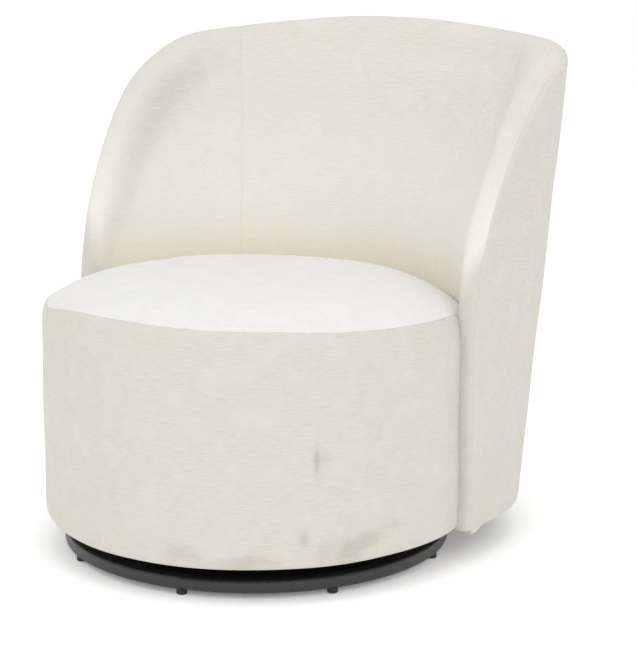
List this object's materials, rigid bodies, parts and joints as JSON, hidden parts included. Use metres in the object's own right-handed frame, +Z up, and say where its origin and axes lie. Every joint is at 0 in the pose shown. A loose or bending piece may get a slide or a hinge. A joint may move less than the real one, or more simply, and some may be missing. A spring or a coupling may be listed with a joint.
{
  "type": "swivel accent chair",
  "caption": "Barrel accent chair: a padded drum seat inside a swept wrap-round back, upholstered all over, turning on a ball swivel over a black ring base",
  "frame": {"origin": "on the floor, under the middle of the chair's plan box", "axes": "+Z up, the sitter faces -Y, +X is the chair's own left as the sitter sits; the swivel axis is vertical, 80.5 mm in front of the origin"},
  "size_m": [0.686, 0.775, 0.724],
  "materials": {
    "ivory_chenille": "slubby ribbed chenille",
    "foam": "polyurethane foam",
    "black_cloth": "non-woven cloth",
    "webbing": "woven elastic strap",
    "plywood": "raw",
    "softwood": "raw",
    "fibreboard": "raw",
    "black_coated_steel": "satin powder coat",
    "zinc_steel": "zinc plated",
    "polished_steel": "polished",
    "black_plastic": "matte"
  },
  "bodies": {
    "base": {"base_ring": "black_coated_steel", "cross_bar_long": "black_coated_steel", "cross_bar_left": "black_coated_steel", "cross_bar_right": "black_coated_steel", "glides": "black_plastic", "swivel_lower_plate": "zinc_steel", "base_bolts": "zinc_steel", "base_nuts": "zinc_steel", "pivot_rivet": "zinc_steel"},
    "race": {"ball_cage": "zinc_steel", "bearing_balls": "polished_steel"},
    "seat": {"swivel_upper_plate": "zinc_steel", "seat_bolts": "zinc_steel", "tee_nuts": "zinc_steel", "drum_base_board": "plywood", "drum_posts": "softwood", "drum_top_ring": "plywood", "drum_front_panel": "fibreboard", "drum_rear_panel": "fibreboard", "webbing_lengthwise": "webbing", "webbing_crosswise": "webbing", "seat_foam": "foam", "seat_cover": "ivory_chenille", "drum_foam": "foam", "drum_cover": "ivory_chenille", "dust_cover": "black_cloth", "back_bottom_rail": "plywood", "back_posts": "softwood", "back_middle_rail": "plywood", "back_uprights": "softwood", "back_edge_rail": "plywood", "back_outer_board": "fibreboard", "back_inner_board": "fibreboard", "back_foam": "foam", "back_edge_roll": "foam", "inside_back_cover": "ivory_chenille", "left_wing_cover": "ivory_chenille", "right_wing_cover": "ivory_chenille", "outside_back_cover": "ivory_chenille", "back_dust_cover": "black_cloth", "back_bolts": "zinc_steel", "back_washers": "zinc_steel", "back_nuts": "zinc_steel"}
  },
  "joints": [
    {"name": "swivel", "type": "hinge", "parent": "base", "child": "seat", "pos_m": [0, -0.0805, 0.038], "axis": [0, 0, 1], "continuous": true},
    {"name": "race_roll", "type": "hinge", "parent": "base", "child": "race", "pos_m": [0, -0.0805, 0.038], "axis": [0, 0, 1], "continuous": true}
  ],
  "couplings": [
    {"joint": "race_roll", "follows": "swivel", "ratio": 0.5}
  ]
}
